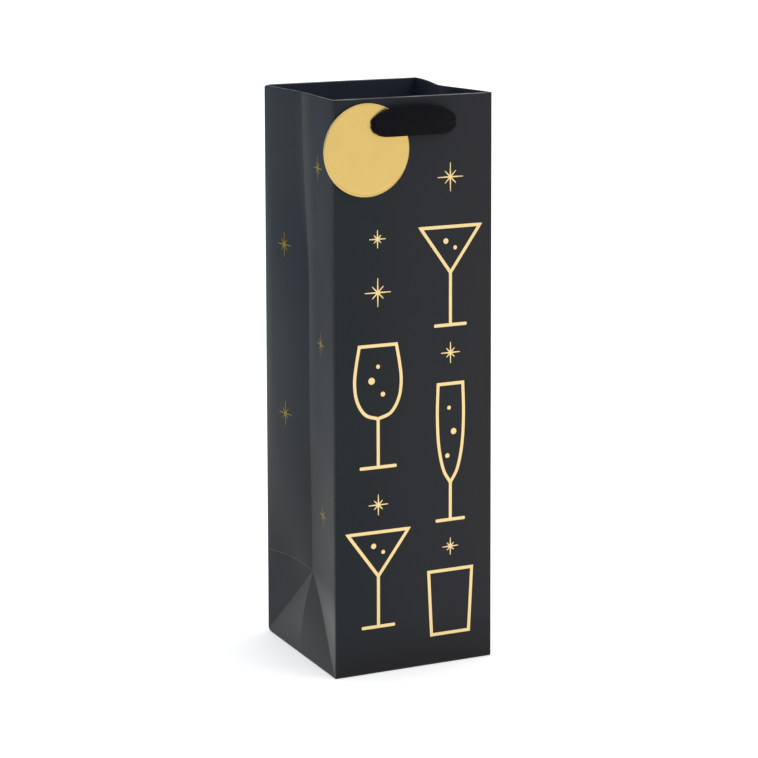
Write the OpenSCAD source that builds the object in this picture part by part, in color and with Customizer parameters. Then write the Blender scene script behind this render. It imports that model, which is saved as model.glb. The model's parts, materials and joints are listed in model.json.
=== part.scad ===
// Wine gift bag: a tall square paper bag with pushed-in gussets, a turned-in rim,
// a block bottom with a loose board, ribbon handles that pull out through punched
// holes, gold foil line drawings and a round gift tag.
// Origin: centre of the base, on the surface the bag stands on. Front faces -Y.

/* [Bag] */
// Width of the front and back panels
bag_w = 100; // [90:5:120]
// Depth of the gussets from front to back
bag_d = 100; // [90:5:120]
// Height from the base to the rim
bag_h = 330; // [330:5:380]
// Thickness of the laminated paper
paper_t = 0.35; // [0.25:0.05:0.5]
// How far the left gusset's centre crease is pushed in
left_in = 7; // [2:1:9]
// How far the right gusset's centre crease is pushed in
right_in = 9; // [2:1:9]

/* [Rim and base] */
// Height of the turned-in hem
hem_h = 40; // [34:1:50]
// Height of each handle reinforcement card
card_h = 32; // [24:1:33]
// Thickness of each handle reinforcement card
card_t = 0.6; // [0.4:0.1:1]
// How far the front and back base flaps lap over each other
base_lap = 24; // [12:2:40]
// Thickness of the base board
board_t = 1.2; // [0.8:0.2:2]

/* [Handles] */
// Distance between the two punched holes of a handle
hole_pitch = 47; // [46:1:60]
// Depth of the holes below the rim
hole_drop = 14; // [11:1:18]
// Radius of the punched holes
hole_r = 2.2; // [1.8:0.1:4]
// Width of the ribbon
ribbon_w = 16; // [10:1:18]
// Thickness of the ribbon
ribbon_t = 0.8; // [0.5:0.1:1]
// How far the ribbon bows out between its holes
ribbon_bow = 5; // [4:0.5:8]
// Distance from the holes down to the knots inside
tail_len = 122; // [60:1:140]
// Radius of the knots
knot_r = 5; // [4:0.5:6]

/* [Gift tag] */
// Diameter of the tag
tag_d = 51.6; // [40:1:58]
// Thickness of the tag's card
tag_t = 0.6; // [0.4:0.1:0.7]
// Distance from the tag's hole to its centre
tag_drop = 15.4; // [12:0.1:20]
// How far the tag hangs from plumb, towards the bag's left
tag_lean = 21; // [0:1:30]

/* [Foil print] */
// Thickness of the foil
foil_t = 0.1; // [0.05:0.05:0.15]
// Width of the drawn lines
line_w = 1.8; // [1.2:0.1:2.4]

/* [Hidden] */
$fn = 48;

// Colours
paper_black = [0.13, 0.14, 0.15];
inner_navy = [0.10, 0.12, 0.16];
board_grey = [0.30, 0.30, 0.31];
foil_gold = [0.85, 0.68, 0.36];
ribbon_black = [0.06, 0.06, 0.07];

// Half sizes of the outer box, and the inner faces of the flat panels
half_w = bag_w / 2;
half_d = bag_d / 2;
inner_d = half_d - paper_t;
// Slack that keeps neighbouring layers from cutting into each other
slack = 0.05;
// A block bottom folds at half the depth, so its creases meet at this height
foot_h = half_d;
// Depth of the hem's inner face below the panel's outer face
hem_y = half_d - 2 * paper_t - card_t;
// Width that stays clear of the gussets at the rim
rim_w = bag_w - 4 * paper_t;

// Handle layout
hole_x = hole_pitch / 2;
hole_z = bag_h - hole_drop;
tag_gap = 0.3;
tag_y = -half_d - foil_t - tag_gap;
band_gap = 0.4;
band_y = -(tag_y - tag_t - foil_t) + band_gap;
neck_r = 1.8;
tail_w = 10;
tail_t = 1.2;
tail_y = hem_y - 1.2;
knot_y = hem_y - knot_r - 0.6;
knot_z = hole_z - tail_len + knot_r;
big = 2 * bag_h;

// ---- Helpers ----

// Draws its children and their copy turned half a turn about the vertical axis
module facing(back = false) {
    rotate([0, 0, back ? 180 : 0]) children();
}

// Stands a flat drawing up on the front: x stays, drawn y becomes z, t runs out to -Y
module upright(y, t) {
    translate([0, y, 0]) rotate([90, 0, 0]) linear_extrude(t) children();
}

// A sheet across the bag between two x values, two depths and two heights
module sheet(x0, x1, y0, y1, z0, z1) {
    translate([x0, y0, z0]) cube([x1 - x0, y1 - y0, z1 - z0]);
}

// The pair of punched holes, as cylinders along Y at the front
module hole_pair(r = hole_r) {
    for (x = [-hole_x, hole_x])
        translate([x, -half_d - 2, hole_z]) rotate([-90, 0, 0]) cylinder(r = r, h = 6);
}

// ---- Foil drawings, drawn flat with y up ----

module line(a, b, w = line_w) {
    run = b - a;
    translate(a) rotate(atan2(run[1], run[0]))
        polygon([[0, -w / 2], [norm(run), -w / 2], [norm(run), w / 2], [0, w / 2]]);
}

module bubble(c, r) {
    translate(c) circle(r);
}

// A pointed ray from the centre; eight of them make a star
module star(c, r, rays = 8) {
    for (i = [0 : rays - 1])
        translate(c) rotate(90 + i * 360 / rays)
            polygon([[0, -0.45], [r * (i % 2 == 0 ? 1 : 0.6), 0], [0, 0.45]]);
}

// An upright stem with a foot line
module stem(x, top, foot, half) {
    line([x, top], [x, foot]);
    line([x - half, foot], [x + half, foot]);
}

// Bowl of a glass from half widths and heights, lowest first, closed across its rim
module bowl(x, z, profile) {
    rim = profile[len(profile) - 1];
    for (s = [-1, 1], i = [0 : len(profile) - 2])
        line([x + s * profile[i][0], z + profile[i][1]], [x + s * profile[i + 1][0], z + profile[i + 1][1]]);
    line([x - rim[0], z + rim[1]], [x + rim[0], z + rim[1]]);
}

module tumbler(x, z, half = 14, h = 38) {
    line([x - half * 0.85, z], [x + half * 0.85, z]);
    for (s = [-1, 1]) line([x + s * half * 0.85, z], [x + s * half, z + h]);
    line([x - half, z + h], [x + half, z + h]);
}

module cocktail_glass(x, z) {
    bowl(x, z + 30, [[0, 0], [19, 26]]);
    stem(x, z + 30, z, 10);
}

module wine_glass(x, z) {
    bowl(x, z + 28, [[0, 0], [8, 3], [13, 11], [14.5, 21], [13.5, 31], [11.5, 42]]);
    stem(x, z + 28, z, 11);
}

module flute(x, z) {
    bowl(x, z + 22, [[0, 0], [4.5, 8], [7.5, 22], [8.5, 40], [8, 58]]);
    stem(x, z + 22, z, 9);
}

// Two columns of glasses, each column set half a step from the other
module panel_drawing() {
    cocktail_glass(-23, 28);
    wine_glass(-23, 122);
    tumbler(23, 18);
    flute(23, 86);
    cocktail_glass(23, 200);
}

module panel_sparkle() {
    for (s = [[-23, 100, 6], [-23, 222, 8], [-23, 252, 5], [23, 70, 5], [23, 184, 6], [23, 284, 8]])
        star([s[0], s[1]], s[2]);
    for (b = [[-26, 76, 1.6], [-20, 72, 1.2], [-27, 172, 2], [-20, 164, 1.4], [-23, 180, 1.2],
            [21, 124, 1.4], [25, 138, 1.8], [22, 152, 1.2], [20, 248, 1.6], [26, 244, 1.2]])
        bubble([b[0], b[1]], b[2]);
}

// ---- Bag walls ----

module front_wall() {
    difference() {
        sheet(-half_w, half_w, -half_d, -inner_d, 0, bag_h);
        hole_pair();
    }
}

module front_panel() {
    color(paper_black) front_wall();
}

module back_panel() {
    color(paper_black) facing(back = true) front_wall();
}

// Plan of a left gusset's front half, from the front panel to the centre crease.
// push is the crease's depth, inset moves the layer inward by its distance from the outer face
module gusset_plan(push, inset = 0) {
    polygon([[-half_w + inset, -inner_d], [-half_w + inset + paper_t, -inner_d],
        [-half_w + push + inset + paper_t, 0], [-half_w + push + inset, 0]]);
}

// Region above the diagonal creases that run up from the two bottom corners
module above_diagonals() {
    rotate([90, 0, 90]) translate([0, 0, -half_w]) linear_extrude(2 * bag_w)
        polygon([[-half_d, 0], [0, foot_h], [half_d, 0], [half_d, big], [-half_d, big]]);
}

module gusset_half(push) {
    intersection() {
        linear_extrude(bag_h) gusset_plan(push);
        translate([-half_w, 0, 0]) above_diagonals();
    }
}

// Triangle between the diagonal creases and the base, leaning in to their meeting point
module gusset_foot(push) {
    difference() {
        rotate([90, 0, 0]) translate([0, 0, -inner_d]) linear_extrude(2 * inner_d)
            polygon([[-half_w, 0], [-half_w + paper_t, 0],
                [-half_w + push + paper_t, foot_h], [-half_w + push, foot_h]]);
        translate([-half_w, 0, 0]) above_diagonals();
    }
}

module left_gusset_front() {
    color(paper_black) gusset_half(left_in);
}

module left_gusset_back() {
    color(paper_black) mirror([0, 1, 0]) gusset_half(left_in);
}

module left_gusset_foot() {
    color(paper_black) gusset_foot(left_in);
}

module right_gusset_front() {
    color(paper_black) mirror([1, 0, 0]) gusset_half(right_in);
}

module right_gusset_back() {
    color(paper_black) facing(back = true) gusset_half(right_in);
}

module right_gusset_foot() {
    color(paper_black) mirror([1, 0, 0]) gusset_foot(right_in);
}

// The sheet's spare edge, glued inside the back panel at the right corner
module side_seam_flap() {
    flap_w = 15;
    color(inner_navy)
        sheet(half_w - 2 * paper_t - flap_w, half_w - 2 * paper_t,
            inner_d - paper_t, inner_d - slack, foot_h / 4, bag_h - hem_h - 1);
}

// ---- Rim ----

// The hem goes over the rim and down behind the reinforcement card
module hem_wall() {
    difference() {
        union() {
            sheet(-rim_w / 2, rim_w / 2, -hem_y - paper_t, -hem_y, bag_h - hem_h, bag_h);
            sheet(-rim_w / 2, rim_w / 2, -inner_d, -hem_y - paper_t, bag_h - paper_t, bag_h);
        }
        hole_pair();
    }
}

module front_hem() {
    color(paper_black) hem_wall();
}

module back_hem() {
    color(paper_black) facing(back = true) hem_wall();
}

// Hem of a left gusset, both halves in one folded strip
module gusset_hem(push) {
    for (m = [0, 1])
        mirror([0, m, 0]) translate([0, 0, bag_h - hem_h]) linear_extrude(hem_h)
            intersection() {
                gusset_plan(push, inset = paper_t + slack);
                translate([-half_w, -hem_y + slack]) square([half_w, hem_y]);
            }
}

module left_hem() {
    color(paper_black) gusset_hem(left_in);
}

module right_hem() {
    color(paper_black) mirror([1, 0, 0]) gusset_hem(right_in);
}

module handle_card() {
    card_w = rim_w - 4;
    top = bag_h - paper_t - slack;
    difference() {
        sheet(-card_w / 2, card_w / 2, -inner_d + slack, -hem_y - paper_t - slack, top - card_h, top);
        hole_pair();
    }
}

module front_handle_card() {
    color(board_grey) handle_card();
}

module back_handle_card() {
    color(board_grey) facing(back = true) handle_card();
}

// ---- Base ----

// Base flaps lie one paper thickness above each other, outermost first
base_in = paper_t + 4 * slack;
lap_y = base_lap / 2;

module base_flap_front() {
    color(paper_black)
        sheet(-half_w + base_in, half_w - base_in, -half_d + base_in, lap_y, 0, paper_t);
}

module base_flap_back() {
    color(paper_black)
        sheet(-half_w + base_in, half_w - base_in, -lap_y, half_d - base_in,
            paper_t + slack, 2 * paper_t);
}

// Trapezoid tucked in from a gusset; its slanted sides are the 45 degree folds
module tuck() {
    edge = half_w - base_in - slack;
    tip = 8;
    translate([0, 0, 2 * paper_t + slack]) linear_extrude(paper_t - slack)
        polygon([[-edge, -edge], [-tip, -tip], [-tip, tip], [-edge, edge]]);
}

module base_flap_left() {
    color(paper_black) tuck();
}

module base_flap_right() {
    color(paper_black) mirror([1, 0, 0]) tuck();
}

module base_board() {
    board = bag_w - 4;
    color(board_grey)
        translate([0, 0, 3 * paper_t + slack + board_t / 2]) cube([board, board, board_t], center = true);
}

// ---- Foil ----

module panel_foil() {
    upright(-half_d, foil_t) union() {
        panel_drawing();
        panel_sparkle();
    }
}

module front_foil() {
    color(foil_gold) panel_foil();
}

module back_foil() {
    color(foil_gold) facing(back = true) panel_foil();
}

// Stars on a left gusset in an even scatter: one row on its front half, one on its back half
module gusset_foil(push) {
    lean = atan2(push, inner_d);
    star_x = 25;
    star_r = 7;
    translate([-half_w, -inner_d, 0]) rotate([0, 0, -lean]) rotate([90, 0, -90])
        linear_extrude(foil_t) for (z = [90, 190, 290]) star([-star_x, z], star_r);
    translate([-half_w, inner_d, 0]) rotate([0, 0, lean]) rotate([90, 0, -90])
        linear_extrude(foil_t) for (z = [140, 240]) star([star_x, z], star_r);
}

module left_foil() {
    color(foil_gold) gusset_foil(left_in);
}

module right_foil() {
    color(foil_gold) facing(back = true) gusset_foil(right_in);
}

// ---- Ribbons ----

// Half of the ribbon that hangs inside: a neck through the hole and a strip down to the knot
module tail(side) {
    x = side * hole_x;
    translate([x, -band_y, hole_z]) rotate([-90, 0, 0]) cylinder(r = neck_r, h = band_y - tail_y + tail_t);
    sheet(x - tail_w / 2, x + tail_w / 2, -tail_y, -tail_y + tail_t,
        knot_z + knot_r + 0.2, hole_z + neck_r);
}

module front_tail_left() {
    color(ribbon_black) tail(-1);
}

module front_tail_right() {
    color(ribbon_black) tail(1);
}

module back_tail_left() {
    color(ribbon_black) facing(back = true) tail(1);
}

module back_tail_right() {
    color(ribbon_black) facing(back = true) tail(-1);
}

// The band that shows outside, bowed between its two holes
function bow_y(x, out) = -band_y - ribbon_bow * (1 - pow(x / (hole_x + 1), 2)) - out;

module band() {
    steps = 12;
    half = hole_x + 1;
    inner = [for (i = [0 : steps]) let (x = half * (2 * i / steps - 1)) [x, bow_y(x, 0)]];
    outer = [for (i = [steps : -1 : 0]) let (x = half * (2 * i / steps - 1)) [x, bow_y(x, ribbon_t)]];
    translate([0, 0, hole_z + 1 - ribbon_w / 2]) linear_extrude(ribbon_w)
        polygon(concat(inner, outer));
}

module front_ribbon() {
    color(ribbon_black) band();
}

module back_ribbon() {
    color(ribbon_black) facing(back = true) band();
}

// A knot with its cut end below it
module knot(side) {
    end_l = 14;
    translate([side * hole_x, -knot_y, knot_z]) union() {
        sphere(r = knot_r);
        translate([-tail_w / 2, -tail_t / 2, -knot_r - end_l])
            cube([tail_w, tail_t, end_l + knot_r]);
    }
}

module front_knot_left() {
    color(ribbon_black) knot(-1);
}

module front_knot_right() {
    color(ribbon_black) knot(1);
}

module back_knot_left() {
    color(ribbon_black) facing(back = true) knot(1);
}

module back_knot_right() {
    color(ribbon_black) facing(back = true) knot(-1);
}

// ---- Gift tag ----

// A disc hung from the left hole of the front handle, leaning a little from plumb
module tag_disc(t) {
    translate([-hole_x, 0, hole_z]) rotate([0, tag_lean, 0]) rotate([90, 0, 0])
        difference() {
            translate([0, -tag_drop, 0]) cylinder(d = tag_d, h = t, $fn = 96);
            translate([0, 0, -1]) cylinder(r = hole_r, h = t + 2);
        }
}

module tag_card() {
    color(board_grey) translate([0, tag_y, 0]) tag_disc(tag_t);
}

module tag_foil() {
    color(foil_gold) translate([0, tag_y - tag_t, 0]) tag_disc(foil_t);
}

front_panel();
back_panel();
left_gusset_front();
left_gusset_back();
left_gusset_foot();
right_gusset_front();
right_gusset_back();
right_gusset_foot();
side_seam_flap();
front_hem();
back_hem();
left_hem();
right_hem();
front_handle_card();
back_handle_card();
base_flap_front();
base_flap_back();
base_flap_left();
base_flap_right();
base_board();
front_foil();
back_foil();
left_foil();
right_foil();
front_tail_left();
front_tail_right();
back_tail_left();
back_tail_right();
front_ribbon();
front_knot_left();
front_knot_right();
back_ribbon();
back_knot_left();
back_knot_right();
tag_card();
tag_foil();
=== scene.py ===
import json
import math
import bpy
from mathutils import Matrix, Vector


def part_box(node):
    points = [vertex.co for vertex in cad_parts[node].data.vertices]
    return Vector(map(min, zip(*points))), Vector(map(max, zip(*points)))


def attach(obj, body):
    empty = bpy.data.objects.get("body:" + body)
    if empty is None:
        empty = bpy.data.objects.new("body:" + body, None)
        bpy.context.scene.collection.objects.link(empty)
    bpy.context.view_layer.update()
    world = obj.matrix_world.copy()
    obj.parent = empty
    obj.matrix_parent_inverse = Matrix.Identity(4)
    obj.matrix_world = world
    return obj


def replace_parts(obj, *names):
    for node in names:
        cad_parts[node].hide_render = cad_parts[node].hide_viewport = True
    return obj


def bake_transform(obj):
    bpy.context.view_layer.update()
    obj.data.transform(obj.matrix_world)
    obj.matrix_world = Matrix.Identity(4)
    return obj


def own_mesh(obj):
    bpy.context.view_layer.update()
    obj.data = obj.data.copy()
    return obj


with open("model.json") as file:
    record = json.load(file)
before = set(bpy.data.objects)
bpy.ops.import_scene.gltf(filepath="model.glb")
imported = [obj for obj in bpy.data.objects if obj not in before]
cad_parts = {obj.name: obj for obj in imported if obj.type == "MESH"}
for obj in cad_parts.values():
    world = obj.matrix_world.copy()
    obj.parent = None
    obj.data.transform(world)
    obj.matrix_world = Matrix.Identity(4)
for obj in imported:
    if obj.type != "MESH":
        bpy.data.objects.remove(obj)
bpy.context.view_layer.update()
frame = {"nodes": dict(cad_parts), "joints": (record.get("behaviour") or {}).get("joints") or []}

from types import SimpleNamespace

import bpy
import numpy as np
from mathutils import Matrix, Vector

# ---------------------------------------------------------------- sizes, in millimetres
MM = 0.001


def box_mm(node):
    low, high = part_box(node)
    return np.array(low) / MM, np.array(high) / MM


panel_low, panel_high = box_mm("front_panel")
HALF_W = panel_high[0]
HALF_D = -panel_low[1]
HEIGHT = panel_high[2]
PAPER = panel_high[1] - panel_low[1]
CORNER_R = 0.9
BASE_R = 0.6
FOOT = HALF_D
hem_low, hem_high = box_mm("front_hem")
HEM_FOOT = hem_low[2]
HEM_STACK = HALF_D + hem_high[1]
GUSSET_STACK = 2 * PAPER + 0.05
CARD_FOOT = box_mm("front_handle_card")[0][2]
MOUTH = 0.975
SIDE = [2 * HALF_W, 2 * HALF_D, 2 * HALF_W, 2 * HALF_D]
START = [0, SIDE[0], SIDE[0] + SIDE[1], SIDE[0] + SIDE[1] + SIDE[2]]
ROUND = sum(SIDE)
FRONT, RIGHT, BACK, LEFT = range(4)

tail_low, tail_high = box_mm("front_tail_right")
TAIL_Y = (tail_low[1] + tail_high[1]) / 2
swing = next(j for j in frame["joints"] if j["name"] == "tag_swing")
HOLE_X = -swing["pos_m"][0] / MM
HOLE_Z = swing["pos_m"][2] / MM
HOLE_R = 2.2
KNOT_LOW, KNOT_HIGH = box_mm("front_knot_right")
LEAN = HALF_D * (1 - MOUTH) * HOLE_Z / HEIGHT


# ---------------------------------------------------------------- the folded sheet
def ease(t):
    t = np.clip(t, 0, 1)
    return t * t * (3 - 2 * t)


def gusset_depth(u, z, mouth, full, front_sign):
    """How far a gusset is pushed in: most at its centre crease, with a triangle folded out over the base."""
    limit = HALF_D - CORNER_R
    t = np.clip(np.abs(u) / limit, 0, 1)
    is_front = u * front_sign > 0
    crease = mouth + (full - mouth) * ease((HEIGHT - z) / 110) + 1.3 * ease((150 - z) / 90)
    soft = 0.13 * ease((z - 225) / 60)
    t_soft = np.sqrt(t * t + soft * soft) + (1 - np.sqrt(1 + soft * soft)) * t
    power = 1 + np.where(is_front, 0.05 + 0.3 * ease((z - 150) / 100), 0.75) * ease((z - FOOT) / 60)
    fold_z = FOOT + 1.5 * t + 1.6 * np.sin(math.pi * t)
    dent = np.where(is_front, 0.3, 1.1) * np.exp(-np.abs(z - fold_z) / 12) * np.sin(math.pi * t) ** 2
    upper = crease * (1 - soft) * (np.maximum(1 - t_soft, 0) / (1 - soft)) ** power + dent
    rise = np.clip(z / FOOT, 1e-4, 1)
    swell = np.sin(math.pi * np.clip(z / FOOT, 0, 1))
    diagonal = crease * rise * (1 + 0.12 * swell)
    beside = diagonal * (1 - t) / rise
    reach = np.maximum(1 - rise, 1e-4)
    inside = diagonal - 2.6 * swell * (1 - np.clip(t / reach, 0, 1))
    lower = np.where(t < 1 - rise, inside, beside) + dent * ease(rise)
    return np.where(z >= FOOT, upper, lower)


def flat_depth(u, z, limit, bow, rim_bow, fold):
    """How far a flat panel is pushed in: it bows out a little between its stiff rim and its base."""
    t = np.clip(np.abs(u) / limit, 0, 1)
    level = np.clip(z / HEIGHT, 0, 1)
    swell = bow * np.sin(math.pi * level) ** 0.8 + rim_bow * ease((level - 0.8) / 0.2)
    ridge = fold * np.exp(-np.abs(z - FOOT) / 8) * (1 - t ** 4)
    return -(swell * (1 - t * t)) - ridge


def wall_depth(side, u, z):
    ripple = 0.10 * np.sin(u / 11.0 + z / 37.0) * np.sin(z / 29.0 + 1.3)
    ripple = ripple * ease((HEIGHT - z) / 60) * ease(z / 40)
    limit = HALF_W - CORNER_R
    fade = 1 - np.clip(np.abs(u) / limit, 0, 1) ** 6
    front = flat_depth(u, z, limit, 0.7, 0.0, 0.0)
    back = flat_depth(u, z, limit, 0.8, 1.0, 0.7)
    right = gusset_depth(u, z, 9.6, 8.0, -1)
    left = gusset_depth(u, z, 3.2, 6.7, 1)
    return np.choose(side, [front, right, back, left]) + ripple * fade


def wall(p, z, inset=0.0):
    """Point on the wall: p runs round from the front left corner, z up, and inset in from the outer face."""
    p, z, inset = (np.asarray(value, float) for value in (p, z, inset))
    p, z, inset = np.broadcast_arrays(np.mod(p, ROUND), z, inset)
    side = np.searchsorted(START, p, side="right") - 1
    half = np.array(SIDE)[side] / 2
    out = np.where(side % 2 == 0, HALF_D, HALF_W)
    u = p - np.array(START)[side] - half
    radius = np.where(inset < CORNER_R - 0.1, CORNER_R, inset + 0.1)
    shrink = (half - radius) / (half - CORNER_R)
    limit = half - CORNER_R
    along = u * shrink
    away = out - inset - wall_depth(side, u, z)
    turned = np.abs(u) > limit
    turn = np.radians(45) * (np.abs(u) - limit) / CORNER_R
    along = np.where(turned, np.sign(u) * (half - radius + (radius - inset) * np.sin(turn)), along)
    away = np.where(turned, out - radius + (radius - inset) * np.cos(turn), away)
    pinch = 1 - (1 - MOUTH) * np.clip(z / HEIGHT, 0, 1)
    from_corner = np.abs(np.mod(p - START[LEFT] + ROUND / 2, ROUND) - ROUND / 2)
    knock = np.exp(-(from_corner / 1.8) ** 2)
    raised = 1.7 * knock * (np.clip(1 - z / 5, 0, 1) - 0.7 * np.clip(1 - (HEIGHT - z) / 5, 0, 1))
    x = np.choose(side, [along, away, -along, -away]) * pinch
    y = np.choose(side, [-away, along, away, -along]) * pinch
    return np.stack([x, y, z + raised], -1)


# ---------------------------------------------------------------- mesh helpers
def link(name, mesh, body=None, materials=()):
    obj = bpy.data.objects.new(name, mesh)
    bpy.context.scene.collection.objects.link(obj)
    for material in materials:
        mesh.materials.append(material)
    if body:
        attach(obj, body)
    return obj


def mesh_of(name, points, faces, smooth=True):
    """Mesh from points in millimetres."""
    mesh = bpy.data.meshes.new(name)
    mesh.from_pydata((np.asarray(points) * MM).tolist(), [], [tuple(int(i) for i in f) for f in faces])
    mesh.validate()
    if smooth:
        mesh.shade_smooth()
    mesh.update()
    return mesh


def slab(points, thickness):
    """Closed sheet of a thickness round a grid of points, as points and faces."""
    grid = np.asarray(points, float)
    rows, cols = grid.shape[:2]
    along = np.gradient(grid, axis=0)
    across = np.gradient(grid, axis=1)
    normal = np.cross(along, across)
    normal /= np.maximum(np.linalg.norm(normal, axis=-1, keepdims=True), 1e-9)
    half = np.broadcast_to(np.asarray(thickness, float), grid.shape[:2])[..., None] / 2
    top = grid + normal * half
    bottom = grid - normal * half
    points = np.concatenate([top.reshape(-1, 3), bottom.reshape(-1, 3)])
    count = rows * cols
    faces = []
    for r in range(rows - 1):
        for c in range(cols - 1):
            a = r * cols + c
            faces.append((a, a + cols, a + cols + 1, a + 1))
            faces.append((count + a, count + a + 1, count + a + cols + 1, count + a + cols))
    border = [(0, c) for c in range(cols)] + [(r, cols - 1) for r in range(1, rows)]
    border += [(rows - 1, c) for c in range(cols - 2, -1, -1)] + [(r, 0) for r in range(rows - 2, 0, -1)]
    for (r0, c0), (r1, c1) in zip(border, border[1:] + border[:1]):
        a, b = r0 * cols + c0, r1 * cols + c1
        faces.append((a, b, count + b, count + a))
    return points, faces


def add_bevel(obj, width_mm, segments=2):
    bevel = obj.modifiers.new("edge", "BEVEL")
    bevel.width = width_mm * MM
    bevel.segments = segments
    bevel.limit_method = "ANGLE"
    bevel.angle_limit = math.radians(50)
    return obj


def apply_modifiers(obj):
    graph = bpy.context.evaluated_depsgraph_get()
    graph.update()
    mesh = bpy.data.meshes.new_from_object(obj.evaluated_get(graph))
    obj.modifiers.clear()
    obj.data = mesh
    return obj


def spline(points, count):
    """Catmull-Rom curve through given points, sampled count times."""
    pts = np.asarray(points, float)
    pts = np.vstack([2 * pts[0] - pts[1], pts, 2 * pts[-1] - pts[-2]])
    spans = len(pts) - 3
    out = []
    for i in range(count):
        t = min(i / (count - 1) * spans, spans - 1e-9)
        k, f = int(t), t - int(t)
        a, b, c, d = pts[k:k + 4]
        square, cube = 2 * a - 5 * b + 4 * c - d, 3 * b - a - 3 * c + d
        out.append(0.5 * (2 * b + (c - a) * f + square * f * f + cube * f ** 3))
    return np.array(out)


# ---------------------------------------------------------------- materials
def new_material(name):
    material = bpy.data.materials.new(name)
    material.use_nodes = True
    nodes = material.node_tree.nodes
    nodes.clear()
    output = nodes.new("ShaderNodeOutputMaterial")
    shader = nodes.new("ShaderNodeBsdfPrincipled")
    material.node_tree.links.new(shader.outputs[0], output.inputs[0])
    return material, nodes, material.node_tree.links, shader


class Wire:
    """Small helper that adds nodes and joins them."""

    def __init__(self, nodes, links):
        self.nodes, self.links = nodes, links

    def put(self, kind, inputs=None, **settings):
        node = self.nodes.new(kind)
        for key, value in settings.items():
            setattr(node, key, value)
        for key, value in (inputs or {}).items():
            if isinstance(value, bpy.types.NodeSocket):
                self.links.new(value, node.inputs[key])
            else:
                node.inputs[key].default_value = value
        return node

    def math(self, operation, a, b=0.0, clamp=False):
        return self.put("ShaderNodeMath", {0: a, 1: b}, operation=operation, use_clamp=clamp).outputs[0]

    def times(self, *values):
        result = values[0]
        for value in values[1:]:
            result = self.math("MULTIPLY", result, value)
        return result

    def plus(self, a, b):
        return self.math("ADD", a, b)

    def minus(self, a, b):
        return self.math("SUBTRACT", a, b)

    def largest(self, *values):
        result = values[0]
        for value in values[1:]:
            result = self.math("MAXIMUM", result, value)
        return result

    def noise(self, vector, scale, detail=3.0, rough=0.5):
        settings = {"Vector": vector, "Scale": scale, "Detail": detail, "Roughness": rough}
        return self.put("ShaderNodeTexNoise", settings).outputs[0]

    def ramp(self, value, low, high, to_low=0.0, to_high=1.0):
        return self.put("ShaderNodeMapRange", {0: value, 1: low, 2: high, 3: to_low, 4: to_high}).outputs[0]

    def mix(self, factor, a, b):
        node = self.nodes.new("ShaderNodeMix")
        node.data_type = "RGBA"
        for socket, value in ((node.inputs[0], factor), (node.inputs[6], a), (node.inputs[7], b)):
            if isinstance(value, bpy.types.NodeSocket):
                self.links.new(value, socket)
            else:
                socket.default_value = value
        return node.outputs[2]

    def bump(self, height, strength, distance):
        settings = {"Height": height, "Strength": strength, "Distance": distance}
        return self.put("ShaderNodeBump", settings).outputs[0]


def rgb(r, g, b):
    return (r, g, b, 1.0)


# Colours of painted light: painted cool light for the gussets, a painted lit tone for the front's right and
# painted shade for its foot
PAINTED_COOL_LIGHT = rgb(0.009, 0.0175, 0.0265)
PAINTED_LIT_TONE = rgb(0.0165, 0.0160, 0.0185)
PAINTED_SHADE_TONE = rgb(0.0070, 0.0060, 0.0070)


def sheet_zones(w):
    """Places and masks on the unfolded sheet. Its UV is in metres: p runs round the bag and z up it."""
    split = w.put("ShaderNodeSeparateXYZ", {0: w.put("ShaderNodeUVMap", uv_map="sheet").outputs[0]})
    p, z = split.outputs[0], split.outputs[1]
    local = w.minus(w.math("MODULO", p, (SIDE[0] + SIDE[1]) * MM), SIDE[0] * MM)
    from_crease = w.minus(local, HALF_D * MM)
    spread = w.math("ABSOLUTE", from_crease)
    on_gusset = w.math("GREATER_THAN", local, 0.0)
    from_front = w.math("PINGPONG", w.minus(p, HALF_W * MM), ROUND / 2 * MM)
    on_back = w.math("GREATER_THAN", from_front, SIDE[0] * MM)
    return SimpleNamespace(
        p=p, z=z, from_crease=from_crease, spread=spread, on_gusset=on_gusset, on_back=on_back,
        in_front=w.math("LESS_THAN", p, SIDE[0] * MM),
        over_diagonal=w.minus(w.plus(spread, z), FOOT * MM),
        front_half=w.times(on_gusset, w.minus(1.0, on_back)))


def worn_places(w, zone):
    """Wear along the creases and edges, and the band of the rim alone, which carries a painted highlight."""
    def band(distance, width):
        return w.ramp(w.math("ABSOLUTE", distance), width * 0.25 * MM, width * MM, 1.0, 0.0)

    z, spread = zone.z, zone.spread
    corners = band(w.math("PINGPONG", zone.p, SIDE[0] / 2 * MM), 0.55)
    rim = band(w.minus(z, HEIGHT * MM), 0.75)
    foot = band(z, 0.7)
    over_foot = w.math("GREATER_THAN", z, FOOT * MM)
    centre = w.times(band(zone.from_crease, 0.5), over_foot, w.ramp(z, 0.235, 0.275, 1.0, 0.0))
    diagonal = w.times(band(zone.over_diagonal, 0.5), zone.on_gusset)
    arch = w.times(w.math("SINE", w.times(spread, math.pi / (HALF_D * MM))), 1.6 * MM)
    arch = w.plus(arch, w.times(spread, 1.5 / HALF_D))
    level = w.times(band(w.minus(w.minus(z, arch), FOOT * MM), 0.45), zone.on_back)
    creases = w.largest(w.times(centre, 0.35), w.times(diagonal, 0.3), w.times(level, 0.55))
    creases = w.times(creases, zone.on_gusset)
    behind = w.times(band(w.minus(z, FOOT * MM), 0.5), zone.on_back)
    behind = w.times(behind, w.minus(0.45, w.times(zone.on_gusset, 0.45)))
    return w.largest(creases, behind, w.times(corners, 0.45), rim, w.times(foot, 0.3)), rim


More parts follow.
